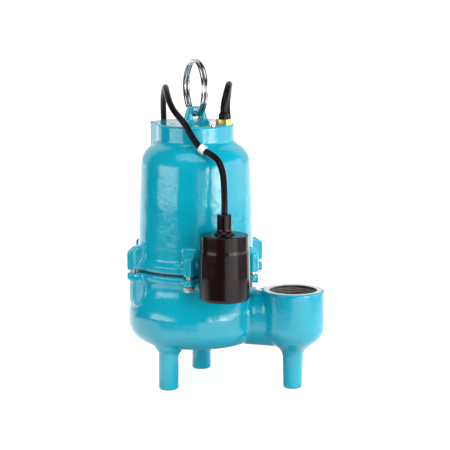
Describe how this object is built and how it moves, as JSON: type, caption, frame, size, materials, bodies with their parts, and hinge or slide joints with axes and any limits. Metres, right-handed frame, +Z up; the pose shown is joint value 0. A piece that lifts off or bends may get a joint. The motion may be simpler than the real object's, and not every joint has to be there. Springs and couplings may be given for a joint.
{
  "type": "submersible sump pump",
  "caption": "Submersible sump pump on three legs with a vertical tapped discharge, lifting ring, tethered float switch, power cord and piggyback plug.",
  "frame": {"origin": "on the floor under the middle of the pump's own box, cords left out", "axes": "+Z up along the shaft, +X towards the discharge"},
  "size_m": [0.2678, 0.4572, 0.4208],
  "materials": {
    "teal_epoxy": "gloss teal epoxy over cast iron",
    "zinc_steel": "bright zinc plate",
    "ring_chrome": "polished",
    "brass": "satin",
    "cord_rubber": "satin",
    "float_plastic": "satin",
    "nylon": "satin",
    "plate_iron": "machined",
    "gasket": "matte",
    "laminations": "stacked sheet",
    "winding": "varnished copper",
    "inner_plastic": "satin",
    "steel": "ground",
    "rotor_aluminium": "cast",
    "impeller_iron": "cast",
    "ceramic": "lapped"
  },
  "bodies": {
    "casing": {"motor_housing": "teal_epoxy", "volute_casing": "teal_epoxy", "seal_plate": "plate_iron", "housing_gasket": "gasket", "housing_bolts": "zinc_steel", "locating_stud": "zinc_steel", "oil_plug": "zinc_steel", "cord_gland_nut": "brass", "cord_boot": "cord_rubber", "cord_clip": "nylon", "stator_core": "laminations", "stator_winding": "winding", "start_capacitor": "inner_plastic", "overload_protector": "inner_plastic", "upper_bearing_outer": "steel", "lower_bearing_outer": "steel", "bearing_spring": "steel", "seal_seat": "ceramic", "power_cord": "cord_rubber", "power_cord_coil": "cord_rubber", "power_plug": "cord_rubber", "power_plug_blades": "brass", "float_cord": "cord_rubber", "float_cord_coil": "cord_rubber", "float_cord_end": "cord_rubber", "float_plug": "cord_rubber", "float_plug_blades": "brass", "coil_ties": "nylon"},
    "rotor": {"shaft": "steel", "rotor_core": "laminations", "rotor_end_rings": "rotor_aluminium", "impeller": "impeller_iron", "impeller_nut": "zinc_steel", "seal_head": "steel", "seal_bellows": "gasket", "upper_bearing_inner": "steel", "lower_bearing_inner": "steel"},
    "upper_cage": {"upper_bearing_balls": "steel"},
    "lower_cage": {"lower_bearing_balls": "steel"},
    "ring": {"lifting_ring": "ring_chrome"},
    "float": {"float_shell": "float_plastic", "float_cap": "float_plastic", "float_neck": "float_plastic", "float_tether": "cord_rubber", "switch_tube": "nylon", "switch_contacts": "brass"},
    "switch_ball": {"switch_ball": "steel"}
  },
  "joints": [
    {"name": "rotor_spin", "type": "hinge", "parent": "casing", "child": "rotor", "pos_m": [-0.04002, 0.01402, 0.2], "axis": [0, 0, 1], "continuous": true},
    {"name": "upper_cage_spin", "type": "hinge", "parent": "casing", "child": "upper_cage", "pos_m": [-0.04002, 0.01402, 0.302], "axis": [0, 0, 1], "continuous": true},
    {"name": "lower_cage_spin", "type": "hinge", "parent": "casing", "child": "lower_cage", "pos_m": [-0.04002, 0.01402, 0.167], "axis": [0, 0, 1], "continuous": true},
    {"name": "ring_swing", "type": "hinge", "parent": "casing", "child": "ring", "pos_m": [-0.04002, 0.01402, 0.3465], "axis": [-0.6494, 0.7604, 0], "range_deg": [-25, 45]},
    {"name": "float_tilt", "type": "hinge", "parent": "casing", "child": "float", "pos_m": [-0.00187, -0.04539, 0.30779], "axis": [-0.7826, -0.6225, 0], "range_deg": [0, 110]},
    {"name": "ball_roll", "type": "slide", "parent": "float", "child": "switch_ball", "axis": [0, 0, 1], "range_m": [0, 0.02]}
  ],
  "couplings": [
    {"joint": "upper_cage_spin", "follows": "rotor_spin", "ratio": 0.3816},
    {"joint": "lower_cage_spin", "follows": "rotor_spin", "ratio": 0.3816}
  ]
}
